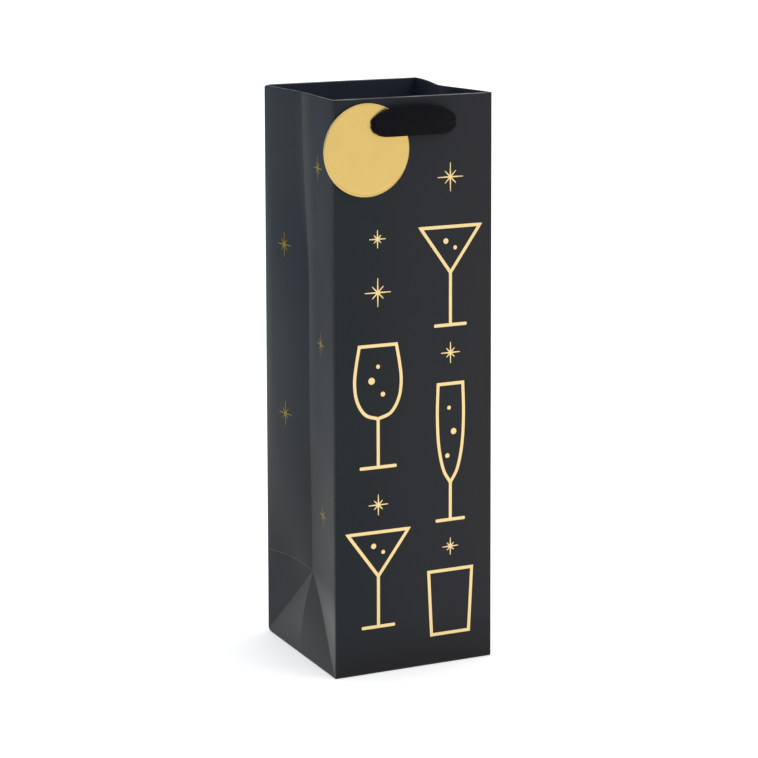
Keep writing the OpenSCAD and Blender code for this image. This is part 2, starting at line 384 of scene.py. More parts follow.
def paper_base(w, zone, cloud, tone, sheen_loss_and_painted_light):
    """The unworn paper, with light and shade painted in: painted cool light up the gussets, painted light
    warming the right of the front and painted shade darkening its foot.
    """
    base = w.mix(w.ramp(cloud, 0.35, 0.65), rgb(*(c * 0.92 for c in tone)), rgb(*(c * 1.08 for c in tone)))
    # painted cool light up the gussets, as much as the last argument gives
    base = w.mix(w.times(zone.on_gusset, w.ramp(zone.z, 0.10, 0.22, 0.0, sheen_loss_and_painted_light)), base, PAINTED_COOL_LIGHT)
    in_front = w.times(zone.in_front, 1.0 if sheen_loss_and_painted_light else 0.0)
    # painted light, warmer and paler towards the right of the front
    base = w.mix(w.times(in_front, w.ramp(zone.p, 0.01, 0.09)), base, PAINTED_LIT_TONE)
    # painted shade at the foot of the front
    return w.mix(w.times(in_front, w.ramp(zone.z, 0.004, 0.03, 0.7, 0.0)), base, PAINTED_SHADE_TONE)


def paper_highlights(w, zone, cloud):
    """Painted highlights on the film: beside the creases, by the gussets' back corners, over the foot
    triangle and in the wedge along its diagonals, which is also burnished to a lower roughness.
    """
    z, spread = zone.z, zone.spread
    outside = w.ramp(zone.over_diagonal, 0.0, 0.6 * MM)
    low = w.times(w.ramp(z, 0.032, 0.052, 1.0, 0.0), w.ramp(z, 0.0, 0.02, 0.5, 1.0))
    burnish_and_painted_highlight = w.times(outside, low, zone.front_half)
    # painted highlight beside each crease, on its front side, growing with height
    shoulder = w.math("POWER", w.ramp(spread, 0.003, 0.018, 1.0, 0.0), 1.5)
    shoulder = w.times(shoulder, zone.front_half, w.ramp(z, 0.08, 0.2, 0.0, 0.38))
    # painted highlight by the back corner of each gusset
    behind_edge = w.times(w.ramp(spread, 0.040, 0.050, 0.0, 0.42), w.minus(zone.on_gusset, zone.front_half))
    behind_edge = w.times(behind_edge, w.ramp(z, 0.08, 0.16), w.ramp(z, 0.24, 0.32, 1.0, 0.1))
    # painted highlight over the foot triangle
    triangle = w.times(w.minus(1.0, outside), zone.on_gusset, w.ramp(cloud, 0.3, 0.7, 0.22, 0.34))
    # painted highlight in the wedge beside the diagonals, where the film is also burnished to a lower
    # roughness
    wedge = w.times(burnish_and_painted_highlight, w.ramp(cloud, 0.3, 0.7, 0.62, 0.9))
    return (w.plus(shoulder, behind_edge), triangle, wedge), burnish_and_painted_highlight


def paper_matt(w, zone, sheen_loss_and_painted_light):
    """How far the gussets lose their sheen with height, lower down in front than behind."""
    matt = w.ramp(zone.z, 0.07, 0.19, 0.0, sheen_loss_and_painted_light)
    matt_behind = w.ramp(zone.z, 0.15, 0.26, 0.0, sheen_loss_and_painted_light * 0.7)
    matt = w.plus(matt, w.times(zone.on_back, w.minus(matt_behind, matt)))
    return w.times(zone.on_gusset, matt)


def paper_material(name, tone, wear_and_highlight_tone, rough_level, shine, sheen_loss_and_painted_light):
    """Matt laminated paper that wears pale at creases and edges, with painted highlights and painted light
    and shade in its colour. Its last argument is its loss of sheen with height, and also how much painted
    cool light goes up the gussets; at 0 the front's painted light and shade are left out.
    """
    material, nodes, links, shader = new_material(name)
    w = Wire(nodes, links)
    zone = sheet_zones(w)
    place = w.put("ShaderNodeTexCoord").outputs["Object"]
    fibre = w.noise(place, 900, 4, 0.65)
    cloud = w.noise(place, 14, 3, 0.5)
    scuff = w.noise(place, 160, 5, 0.7)
    lines, rim = worn_places(w, zone)
    worn = w.times(lines, w.ramp(scuff, 0.3, 0.62, 0.45, 1.0))
    # painted highlight along the rim, patchy along its length
    painted_rim_highlight = w.times(rim, w.ramp(w.noise(place, 34, 2, 0.6), 0.40, 0.58, 0.1, 1.0))
    highlights, burnish_and_painted_highlight = paper_highlights(w, zone, cloud)
    colour = w.mix(worn, paper_base(w, zone, cloud, tone, sheen_loss_and_painted_light), rgb(*wear_and_highlight_tone))
    # the rim's painted highlight, three times as pale as the wear tone
    colour = w.mix(painted_rim_highlight, colour, rgb(*(c * 3.0 for c in wear_and_highlight_tone)))
    # painted highlights, in the same pale tone as the wear
    for highlight in highlights:
        colour = w.mix(highlight, colour, rgb(*wear_and_highlight_tone))
    rough = w.ramp(w.plus(w.times(fibre, 0.5), w.times(cloud, 0.5)), 0.35, 0.65,
                   rough_level - 0.04, rough_level + 0.04)
    sheen = w.times(w.minus(1.0, paper_matt(w, zone, sheen_loss_and_painted_light)), shine)
    relief = w.plus(w.times(fibre, 0.5), w.times(scuff, 0.5))
    links.new(colour, shader.inputs["Base Color"])
    links.new(w.minus(rough, w.times(burnish_and_painted_highlight, 0.1)), shader.inputs["Roughness"])
    links.new(sheen, shader.inputs["Specular IOR Level"])
    links.new(w.bump(relief, 0.10, 0.00008), shader.inputs["Normal"])
    return material


def foil_material(name, tone, rough, metal=1.0):
    material, nodes, links, shader = new_material(name)
    w = Wire(nodes, links)
    place = w.put("ShaderNodeTexCoord").outputs["Object"]
    cloud = w.noise(place, 60, 3, 0.5)
    grain = w.noise(place, 1400, 3, 0.6)
    light = rgb(*(min(1.0, c * 1.015) for c in tone))
    dark = rgb(*(c * 0.975 for c in tone))
    links.new(w.mix(w.ramp(cloud, 0.3, 0.7), dark, light), shader.inputs["Base Color"])
    shader.inputs["Metallic"].default_value = metal
    links.new(w.ramp(grain, 0.3, 0.7, rough - 0.05, rough + 0.05), shader.inputs["Roughness"])
    links.new(w.bump(w.plus(grain, w.times(cloud, 2.0)), 0.08, 0.00006), shader.inputs["Normal"])
    return material


def ribbon_material():
    """Fine ribs across the ribbon, over a softer cloud of pile."""
    material, nodes, links, shader = new_material("ribbon_black")
    w = Wire(nodes, links)
    uv = w.put("ShaderNodeUVMap", uv_map="weave").outputs[0]
    split = w.put("ShaderNodeSeparateXYZ", {0: uv})
    place = w.put("ShaderNodeTexCoord").outputs["Object"]
    fuzz = w.noise(place, 2200, 4, 0.7)
    ribs = w.math("SINE", w.times(split.outputs[0], math.tau / 0.00062))
    threads = w.math("SINE", w.times(split.outputs[1], math.tau / 0.0005))
    cloth = w.plus(w.times(ribs, 0.6), w.times(threads, 0.3))
    height = w.plus(cloth, w.times(fuzz, 1.2))
    tint = w.mix(w.ramp(height, -0.6, 1.6), rgb(0.0022, 0.0020, 0.0030), rgb(0.0055, 0.0050, 0.0072))
    links.new(tint, shader.inputs["Base Color"])
    links.new(w.ramp(fuzz, 0.3, 0.7, 0.58, 0.74), shader.inputs["Roughness"])
    shader.inputs["Specular IOR Level"].default_value = 0.07
    shader.inputs["Sheen Weight"].default_value = 0.012
    shader.inputs["Sheen Roughness"].default_value = 0.4
    links.new(w.bump(height, 0.45, 0.00016), shader.inputs["Normal"])
    return material


def board_material(name, tone):
    """Pulp board: grey fibres with darker flecks."""
    material, nodes, links, shader = new_material(name)
    w = Wire(nodes, links)
    place = w.put("ShaderNodeTexCoord").outputs["Object"]
    fibre = w.noise(place, 700, 6, 0.7)
    fleck = w.noise(place, 260, 2, 0.5)
    base = w.mix(w.ramp(fibre, 0.35, 0.65), rgb(*(c * 0.8 for c in tone)), rgb(*(c * 1.15 for c in tone)))
    colour = w.mix(w.ramp(fleck, 0.66, 0.72), base, rgb(*(c * 0.45 for c in tone)))
    links.new(colour, shader.inputs["Base Color"])
    shader.inputs["Roughness"].default_value = 0.85
    links.new(w.bump(fibre, 0.3, 0.0001), shader.inputs["Normal"])
    return material


def floor_material():
    material, _, _, shader = new_material("floor_white")
    shader.inputs["Base Color"].default_value = rgb(0.93, 0.93, 0.93)
    shader.inputs["Roughness"].default_value = 0.9
    shader.inputs["Specular IOR Level"].default_value = 0.1
    shader.inputs["Emission Color"].default_value = rgb(1.0, 1.0, 1.0)
    shader.inputs["Emission Strength"].default_value = 0.32
    return material


PAPER_OUT = paper_material("paper_black", (0.0096, 0.0126, 0.0154), (0.090, 0.089, 0.087), 0.5, 0.185, 0.64)
PAPER_IN = paper_material("paper_inside", (0.0195, 0.0265, 0.040), (0.082, 0.087, 0.091), 0.6, 0.2, 0.0)
FOIL = foil_material("foil_gold", (0.81, 0.61, 0.292), 0.34)
# a darker, rougher copy of the gold foil; its darkness is painted shade for the stars on the gussets
FOIL_PAINTED_SHADE = foil_material("foil_gold_painted_shade", (0.24, 0.182, 0.028), 0.5)
TAG_GOLD = foil_material("tag_gold", (0.685, 0.475, 0.152), 0.36)
TAG_CARD = board_material("tag_card_stock", (0.60, 0.53, 0.38))
RIBBON = ribbon_material()
BOARD = board_material("grey_board", (0.17, 0.165, 0.16))


# ---------------------------------------------------------------- the paper shell
def side_columns():
    """Fractions of the way from a crease to a corner, close together at both ends."""
    return [0.0, 0.010] + [i / 25 for i in range(1, 25)] + [0.99]


def shell_columns():
    """Distances round the rim. Each corner is an arc, and each gusset has a column at its crease."""
    columns = []
    for side in range(4):
        half = SIDE[side] / 2
        middle = START[side] + half
        limit = half - CORNER_R
        steps = side_columns()
        offsets = [-limit * f for f in reversed(steps)] + [limit * f for f in steps[1:]]
        corner = START[side]
        columns += [corner + CORNER_R * f for f in (0.0, 0.5, 1.0)]
        columns += [middle + o for o in offsets]
        columns += [corner + 2 * half - CORNER_R * f for f in (1.0, 0.5)]
    return np.array(columns)


def shell_rows(p):
    """Rows of (height, inset) up the outside, over the rim and down the inside, for each column p."""
    side = np.searchsorted(START, p, side="right") - 1
    half = np.array(SIDE)[side] / 2
    u = np.abs(p - np.array(START)[side] - half)
    wide = np.where(side % 2 == 0, ease((half - u) / 5), 0.0)
    stack = GUSSET_STACK + (HEM_STACK - GUSSET_STACK) * wide
    low_stack = np.full_like(p, GUSSET_STACK)
    ones = np.ones_like(p)
    rows = []

    def add(height, inset, kind, sheet_z):
        rows.append((height * ones, inset * ones, kind, sheet_z))

    for degrees, sheet_z in ((0, -BASE_R), (30, -0.2), (60, 0.2)):
        turn = math.radians(degrees)
        add(BASE_R * (1 - math.cos(turn)), BASE_R * (1 - math.sin(turn)), "out", sheet_z)
    foot_rows = sorted(FOOT * (1 - f) for f in side_columns())
    tall = [FOOT + 2 * i for i in range(1, int((HEIGHT - 3 - FOOT) / 2) + 1)]
    outer = [0.9 if h < 0.9 else h for h in foot_rows] + tall + [HEIGHT - 2]
    for h in outer:
        add(h, 0.0, "out", h)
    for i in range(9):
        turn = math.pi * i / 8
        add(HEIGHT - stack / 2 * (1 - np.sin(turn)), stack / 2 * (1 - np.cos(turn)), "out",
            HEIGHT + (i / 8 - 0.5) * 1.6)
    for h in np.arange(HEIGHT - 2, CARD_FOOT + 1, -2):
        add(h, stack, "out", 2 * HEIGHT - h)
    for h, share in ((CARD_FOOT + 0.6, 0.92), (CARD_FOOT - 0.8, 0.3), (CARD_FOOT - 1.6, 0.0)):
        add(h, low_stack + (stack - low_stack) * share, "out", 2 * HEIGHT - h)
    add(HEM_FOOT + 3, low_stack, "out", 2 * HEIGHT - HEM_FOOT - 3)
    add(HEM_FOOT, low_stack, "out", 2 * HEIGHT - HEM_FOOT)
    add(HEM_FOOT, PAPER, "in", HEM_FOOT)
    for h in reversed([x for x in outer if x < HEM_FOOT - 1]):
        add(max(h, PAPER + 0.1), PAPER, "in", h)
    add(PAPER, BASE_R, "in", 0.3)
    return rows


def build_shell():
    p = shell_columns()
    rows = shell_rows(p)
    cols, count = len(p), len(rows)
    points = np.concatenate([wall(p, height, inset) for height, inset, _, _ in rows])
    faces, kinds, uvs = [], [], []
    for r in range(count):
        nxt = (r + 1) % count
        z0, z1 = rows[r][3], rows[nxt][3]
        kind = 0 if rows[r][2] == "out" and rows[nxt][2] == "out" and z0 < HEIGHT + 0.7 else 1
        if nxt == 0:
            z1 = z0
        for c in range(cols):
            right = (c + 1) % cols
            p0 = p[c]
            p1 = p[right] if right else ROUND
            low, high = r * cols, nxt * cols
            quad = [(low + c, p0, z0), (low + right, p1, z0), (high + right, p1, z1), (high + c, p0, z1)]
            middle = (p0 + p1) / 2
            side = int(np.searchsorted(START, middle, side="right") - 1)
            on_gusset = side % 2 == 1 and abs(z0) < FOOT + 1 and z0 != z1
            rising = middle < START[side] + SIDE[side] / 2
            if on_gusset and rising:
                parts = [(0, 1, 2), (0, 2, 3)] if z1 > z0 else [(0, 1, 3), (1, 2, 3)]
            elif on_gusset:
                parts = [(0, 1, 3), (1, 2, 3)] if z1 > z0 else [(0, 1, 2), (0, 2, 3)]
            else:
                parts = [(0, 1, 2, 3)]
            for part in parts:
                faces.append([quad[i][0] for i in part])
                uvs.append([(quad[i][1] * MM, quad[i][2] * MM) for i in part])
                kinds.append(kind)
    mesh = bpy.data.meshes.new("bag_shell")
    mesh.from_pydata((points * MM).tolist(), [], faces)
    layer = mesh.uv_layers.new(name="sheet")
    layer.data.foreach_set("uv", np.array([x for f in uvs for q in f for x in q], np.float32))
    mesh.polygons.foreach_set("material_index", kinds)
    mesh.shade_smooth()
    mark_creases(mesh, p, rows, cols)
    mesh.update()
    return link("bag_shell", mesh, materials=(PAPER_OUT, PAPER_IN))


SHARP_TOP = 245


def mark_creases(mesh, p, rows, cols):
    """Makes the folds of the gussets crisp: the centre crease and the diagonals over the base."""
    heights = np.array([r[0].mean() for r in rows])
    side = np.searchsorted(START, p, side="right") - 1
    u = p - np.array(START)[side] - np.array(SIDE)[side] / 2
    limit = HALF_D - CORNER_R
    gusset = side % 2 == 1
    at_crease = gusset & (np.abs(u) < 1e-6)
    for edge in mesh.edges:
        a, b = edge.vertices
        ca, cb, ra, rb = a % cols, b % cols, a // cols, b // cols
        if ca == cb and at_crease[ca] and FOOT - 1e-6 <= min(heights[ra], heights[rb]) < SHARP_TOP:
            edge.use_edge_sharp = True
        elif ca != cb and ra != rb and gusset[ca] and gusset[cb]:
            on_a = abs(heights[ra] / FOOT - (1 - abs(u[ca]) / limit)) < 0.012
            on_b = abs(heights[rb] / FOOT - (1 - abs(u[cb]) / limit)) < 0.012
            if on_a and on_b:
                edge.use_edge_sharp = True


def punch(obj):
    """Cuts the four handle holes."""
    cutters = []
    for sy in (-1, 1):
        for sx in (-1, 1):
            bpy.ops.mesh.primitive_cylinder_add(vertices=40, radius=HOLE_R * MM, depth=8 * MM,
                                                location=(sx * HOLE_X * MM, sy * HALF_D * MM, HOLE_Z * MM),
                                                rotation=(math.pi / 2, 0, 0))
            cutters.append(bpy.context.object)
    for cutter in cutters:
        cut = obj.modifiers.new("hole", "BOOLEAN")
        cut.operation = "DIFFERENCE"
        cut.solver = "EXACT"
        cut.object = cutter
    apply_modifiers(obj)
    for cutter in cutters:
        bpy.data.objects.remove(cutter)
    return obj


shell = build_shell()
punch(shell)
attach(shell, "bag")
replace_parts(shell, "front_panel", "back_panel", "left_gusset_front", "left_gusset_back", "left_gusset_foot",
            "right_gusset_front", "right_gusset_back", "right_gusset_foot",
            "front_hem", "back_hem", "left_hem", "right_hem")


# ---------------------------------------------------------------- foil drawings
class Print:
    """Collects thin closed shapes that follow the paper, each a hair above the one before."""

    def __init__(self, origin):
        self.origin = origin
        self.points, self.faces = [], []
        self.lift = 0.07

    def _on_wall(self, flat, inset):
        return wall(self.origin + flat[:, 0], flat[:, 1], inset)

    def _add(self, points, faces):
        start = sum(len(x) for x in self.points)
        self.points.append(np.asarray(points))
        self.faces += [[i + start for i in f] for f in faces]

    def _skin(self, flat, faces, rim):
        """Closes a flat patch, given as (along, up) points, into a thin solid on the wall."""
        flat = np.asarray(flat, float)
        self.lift += 0.0015
        top = self._on_wall(flat, -self.lift)
        low = self._on_wall(flat, 0.06)
        n = len(flat)
        closed = [list(f) for f in faces] + [[i + n for i in reversed(f)] for f in faces]
        closed += [[b, a, a + n, b + n] for a, b in zip(rim, rim[1:] + rim[:1])]
        self._add(np.concatenate([top, low]), closed)

    def stroke(self, path, width, closed=False, end_width=None, step=1.6):
        """A line of some width along a path. Corners are mitred, and open ends are a little rounded."""
        path = [np.array(q, float) for q in path]
        if closed:
            path.append(path[0])
        fine = [path[0]]
        for a, b in zip(path, path[1:]):
            n = max(1, int(np.linalg.norm(b - a) / step))
            fine += [a + (b - a) * (i + 1) / n for i in range(n)]
        pts = np.array(fine)
        if closed:
            pts = pts[:-1]
        n = len(pts)
        before = np.roll(pts, 1, 0) if closed else np.vstack([2 * pts[0] - pts[1], pts[:-1]])
        after = np.roll(pts, -1, 0) if closed else np.vstack([pts[1:], 2 * pts[-1] - pts[-2]])
        d0, d1 = pts - before, after - pts
        d0 /= np.maximum(np.linalg.norm(d0, axis=1, keepdims=True), 1e-9)
        d1 /= np.maximum(np.linalg.norm(d1, axis=1, keepdims=True), 1e-9)
        n0 = np.stack([-d0[:, 1], d0[:, 0]], 1)
        n1 = np.stack([-d1[:, 1], d1[:, 0]], 1)
        mitre = n0 + n1
        mitre /= np.maximum((mitre * n0).sum(1, keepdims=True), 0.5)
        half = np.linspace(width, end_width if end_width else width, n) / 2
        left, right = pts + mitre * half[:, None], pts - mitre * half[:, None]
        if not closed:
            tips = [(left[e] * a + right[e] * (1 - a)) + d * half[e] * 0.55
                    for e, d in ((0, -d1[0]), (-1, d0[-1])) for a in (0.8, 0.2)]
            left = np.vstack([tips[0], left, tips[2]])
            right = np.vstack([tips[1], right, tips[3]])
        m = len(left)
        flat = np.concatenate([left, right])
        faces = [[i, m + i, m + (i + 1) % m, (i + 1) % m] for i in range(m if closed else m - 1)]
        if closed:
            self.lift += 0.0015
            ring = [list(f) for f in faces] + [[i + 2 * m for i in reversed(f)] for f in faces]
            for i in range(m):
                j = (i + 1) % m
                ring.append([i, j, j + 2 * m, i + 2 * m])
                ring.append([m + j, m + i, 3 * m + i, 3 * m + j])
            self._add(np.concatenate([self._on_wall(flat, -self.lift), self._on_wall(flat, 0.06)]), ring)
        else:
            rim = list(range(m)) + [m + i for i in range(m - 1, -1, -1)]
            self._skin(flat, faces, rim[::-1])

    def dot(self, centre, radius, count=28):
        """A filled disc: a ring of points at its edge, another half way in, and one at its centre."""
        turns = np.arange(count) * math.tau / count
        around = np.stack([np.cos(turns), np.sin(turns)], 1) * radius
        flat = np.concatenate([[centre], centre + around / 2, centre + around])
        inner, outer = 1, 1 + count
        following = [(i + 1) % count for i in range(count)]
        faces = [[0, inner + i, inner + j] for i, j in enumerate(following)]
        faces += [[inner + i, outer + i, outer + j, inner + j] for i, j in enumerate(following)]
        self._skin(flat, faces, [outer + i for i in range(count)])

    def star(self, centre, reach, width=0.95):
        """Eight pointed rays at even angles, every other one short."""
        for i in range(8):
            a = math.radians(90 + 45 * i)
            length = reach * (0.6 if i % 2 else 1)
            tip = (centre[0] + length * math.cos(a), centre[1] + length * math.sin(a))
            self.stroke([centre, tip], width, end_width=width * 0.5)

    def build(self, name, material):
        mesh = mesh_of(name, np.concatenate(self.points), self.faces, smooth=False)
        return link(name, mesh, "bag", (material,))


LINE = 1.9
COLUMN = 23
COCKTAIL_BOWL = ((0, 0), (19, 26))
WINE_BOWL = ((0, 0), (8, 3), (13, 11), (14.5, 21), (13.5, 31), (11.5, 42))
FLUTE_BOWL = ((0, 0), (4.5, 8), (7.5, 22), (8.5, 40), (8, 58))


def stemmed_glass(ink, x, z, stem, foot, profile):
    """A foot, a stem and a bowl given by half widths and heights, closed across its rim."""
    if len(profile) > 2:
        profile = [tuple(q[:2]) for q in spline([(h, v, 0) for h, v in profile], 26)]
    bowl = [(x - h, z + stem + v) for h, v in reversed(profile)]
    ink.stroke(bowl + [(x + h, z + stem + v) for h, v in profile[1:]], LINE, closed=True)
    ink.stroke([(x, z + stem), (x, z)], LINE)
    ink.stroke([(x - foot, z), (x + foot, z)], LINE)


def panel_lines(ink):
    """Two columns of plain glasses. The x runs from the panel's centre and the y up from the base."""
    stemmed_glass(ink, -COLUMN, 28, 30, 10, COCKTAIL_BOWL)
    stemmed_glass(ink, -COLUMN, 122, 28, 11, WINE_BOWL)
    stemmed_glass(ink, COLUMN, 86, 22, 9, FLUTE_BOWL)
    stemmed_glass(ink, COLUMN, 200, 30, 10, COCKTAIL_BOWL)
    low, high, low_half, high_half = 18, 56, 12, 14
    ink.stroke([(COLUMN - low_half, low), (COLUMN + low_half, low),
                (COLUMN + high_half, high), (COLUMN - high_half, high)], LINE, closed=True)
    for column, stars in ((-COLUMN, ((100, 6), (222, 8), (252, 5))), (COLUMN, ((70, 5), (184, 6), (284, 8)))):
        for z, reach in stars:
            ink.star((column, z), reach)
    for x, z, radius in ((-26, 76, 1.6), (-20, 72, 1.2), (-27, 172, 2), (-20, 164, 1.4), (-23, 180, 1.2),
                         (21, 124, 1.4), (25, 138, 1.8), (22, 152, 1.2), (20, 248, 1.6), (26, 244, 1.2)):
        ink.dot((x, z), radius)


for side, word in ((FRONT, "front"), (BACK, "back")):
    lines = Print(START[side] + HALF_W)
    panel_lines(lines)
    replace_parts(lines.build(word + "_foil_lines", FOIL), word + "_foil")

for side, word in ((LEFT, "left"), (RIGHT, "right")):
    stars = Print(START[side])
    for from_front, heights in ((25, (90, 190, 290)), (75, (140, 240))):
        for z in heights:
            stars.star((SIDE[side] - from_front, z), 7, 0.85)
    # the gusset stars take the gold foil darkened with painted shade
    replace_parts(stars.build(word + "_foil_stars", FOIL_PAINTED_SHADE), word + "_foil")


# ---------------------------------------------------------------- inside of the bag
def wall_patch(name, p0, p1, z0, z1, inset, thickness, material):
    """A flat layer that follows the wall, such as a card or a glued flap."""
    along = np.linspace(p0, p1, max(2, int((p1 - p0) / 3)))
    up = np.linspace(z0, z1, max(2, int((z1 - z0) / 3)))
    grid = wall(along[None, :], up[:, None], inset + thickness / 2)
    points, faces = slab(grid, thickness)
    mesh = mesh_of(name, points, faces, smooth=False)
    layer = mesh.uv_layers.new(name="sheet")
    layer.data.foreach_set("uv", [0.05] * (2 * len(mesh.loops)))
    return link(name, mesh, "bag", (material,))


for word, side in (("front", FRONT), ("back", BACK)):
    low, high = box_mm(word + "_handle_card")
    middle = START[side] + HALF_W
    half = (high[0] - low[0]) / 2
    card = wall_patch(word + "_card", middle - half, middle + half, low[2], high[2],
                      PAPER + 0.08, 0.45, BOARD)
    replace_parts(card, word + "_handle_card")

flap_low, flap_high = box_mm("side_seam_flap")
flap = wall_patch("seam_flap", START[BACK] + (HALF_W - flap_high[0]), START[BACK] + (HALF_W - flap_low[0]),
                  flap_low[2], flap_high[2], PAPER + 0.02, PAPER, PAPER_IN)
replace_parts(flap, "side_seam_flap")

for node in ("base_flap_front", "base_flap_back", "base_flap_left", "base_flap_right"):
    frame["nodes"][node].data.materials.clear()
    frame["nodes"][node].data.materials.append(PAPER_IN)
board = frame["nodes"]["base_board"]
board.data.materials.clear()
board.data.materials.append(BOARD)
add_bevel(board, 0.25)


# ---------------------------------------------------------------- ribbons
RIBBON_T = 0.7


def ribbon_piece(name, grid, thickness=RIBBON_T, back=False):
    """A piece of ribbon from a grid whose rows run along it. Its UV is (along, across) in metres."""
    grid = np.asarray(grid, float) + np.array([0, LEAN, 0])
    if back:
        grid = grid * np.array([-1, -1, 1])
    points, faces = slab(grid, thickness)
    mesh = mesh_of(name, points, faces)
    rows, cols = grid.shape[:2]
    steps = np.linalg.norm(np.diff(grid[:, cols // 2], axis=0), axis=1)
    along = np.concatenate([[0], np.cumsum(steps)]) * MM
    across = np.linspace(0, 16, cols) * MM
    u = np.tile(np.repeat(along, cols), 2)
    v = np.tile(np.tile(across, rows), 2)
    layer = mesh.uv_layers.new(name="weave")
    index = np.zeros(len(mesh.loops), np.int32)
    mesh.loops.foreach_get("vertex_index", index)
    layer.data.foreach_set("uv", np.stack([u[index], v[index]], 1).astype(np.float32).ravel())
    obj = link(name, mesh, materials=(RIBBON,))
    return obj


# Route of the band seen from above, from the left hole to the right one
BAND_ROUTE = [(-24.4, -50.3), (-25.6, -51.1), (-26.2, -51.8), (-24.6, -52.5), (-20.8, -53.2),
              (-15.0, -54.2), (-7.0, -55.4), (2.0, -56.2), (10.0, -56.4), (16.0, -56.0),
              (20.4, -55.2), (23.2, -54.0), (24.3, -52.7), (24.0, -51.5), (23.4, -50.5)]
# Its height above and below its centreline at those points, and how far the centreline rises
BAND_ABOVE = [0.8, 1.0, 1.5, 3.2, 5.7, 7.8, 8.1, 8.1, 8.1, 6.6, 4.3, 2.6, 1.8, 1.5, 1.2]
BAND_BELOW = [1.0, 1.3, 2.2, 5.2, 7.4, 8.1, 8.1, 8.1, 8.1, 8.0, 6.6, 4.2, 2.3, 1.8, 1.4]
BAND_LEVEL = [-0.2, 0.0, 0.3, 0.4, 0.5, 0.8, 1.0, 1.1, 1.1, 1.0, 0.9, 0.6, 0.3, 0.0, 0.0]


def band_grid(rows=110, cols=33):
    route = spline([(x, y, 0) for x, y in BAND_ROUTE], rows)
    above = spline([(a, b, c) for a, b, c in zip(BAND_ABOVE, BAND_BELOW, BAND_LEVEL)], rows)
    across = np.linspace(-1, 1, cols)
    grid = np.zeros((rows, cols, 3))
    for i in range(rows):
        x, y, _ = route[i]
        up, down, level = above[i]
        half = np.where(across > 0, up, down)
        tight = 1 - min(up, down) / 8.0
        pleat = 1.25 * tight * np.sin(3.2 * math.pi * across + 0.6)
        curl = 0.55 * across ** 2 * (1 - tight) + 0.10 * np.sin(across * 5 + i / 9)
        grid[i, :, 0] = x
        grid[i, :, 1] = y + pleat * 0.45 + curl
        grid[i, :, 2] = HOLE_Z + level + across * half
    return grid


STRAND_LOW = HOLE_Z - 1.2
STRAND_HIGH = HOLE_Z + 3.0


def strand_grid(side, rows=60, cols=15):
    """The stretch between hole and band, bunched up at rest."""
    across = np.linspace(-1, 1, cols)
    grid = np.zeros((rows, cols, 3))
    for i in range(rows):
        t = i / (rows - 1)
        spread = float(ease(t / 0.3))
        half = 1.0 + 3.6 * spread
        pleat = 0.5 * (1 - spread) * np.sin(3 * math.pi * across)
        grid[i, :, 0] = side * (HOLE_X + 0.2 - half) + across * half
        grid[i, :, 1] = (-51.35 if i == 0 else -51.85 - 0.15 * t) - pleat * 0.2
        grid[i, :, 2] = STRAND_LOW + (STRAND_HIGH - STRAND_LOW) * t
    return grid


def neck_grid(side, rows=14, cols=13):
    """The bunched ribbon in the hole."""
    across = np.linspace(-1, 1, cols)
    y = np.linspace(-51.5, -46.8, rows)
    grid = np.zeros((rows, cols, 3))
    for i in range(rows):
        pleat = 1.1 * np.sin(2.6 * math.pi * across)
        grid[i, :, 0] = side * HOLE_X + pleat * 0.8
        grid[i, :, 1] = y[i]
        grid[i, :, 2] = HOLE_Z + across * 1.8
    return grid


def tail_grid(side, rows=70, cols=15):
    """The ribbon's end, hanging inside from the hole to its knot."""
    low = KNOT_HIGH[2] - 1.0
    across = np.linspace(-1, 1, cols)
    grid = np.zeros((rows, cols, 3))
    knot_y = (KNOT_LOW[1] + KNOT_HIGH[1]) / 2
    for i in range(rows):
        t = i / (rows - 1)
        spread = float(ease(t / 0.14) * ease((1 - t) / 0.12))
        half = 2.2 + 4.0 * spread
        pleat = 0.9 * (1 - 0.75 * spread) * np.sin(2.4 * math.pi * across)
        wave = 0.35 * math.sin(t * 9 + side)
        grid[i, :, 0] = side * HOLE_X + across * half + 0.8 * math.sin(t * 5 + side)
        lean = float(ease((t - 0.8) / 0.2)) * (knot_y - TAIL_Y) * 0.9
        grid[i, :, 1] = TAIL_Y + lean + pleat * 0.5 + wave
        grid[i, :, 2] = HOLE_Z - (HOLE_Z - low) * t
    return grid


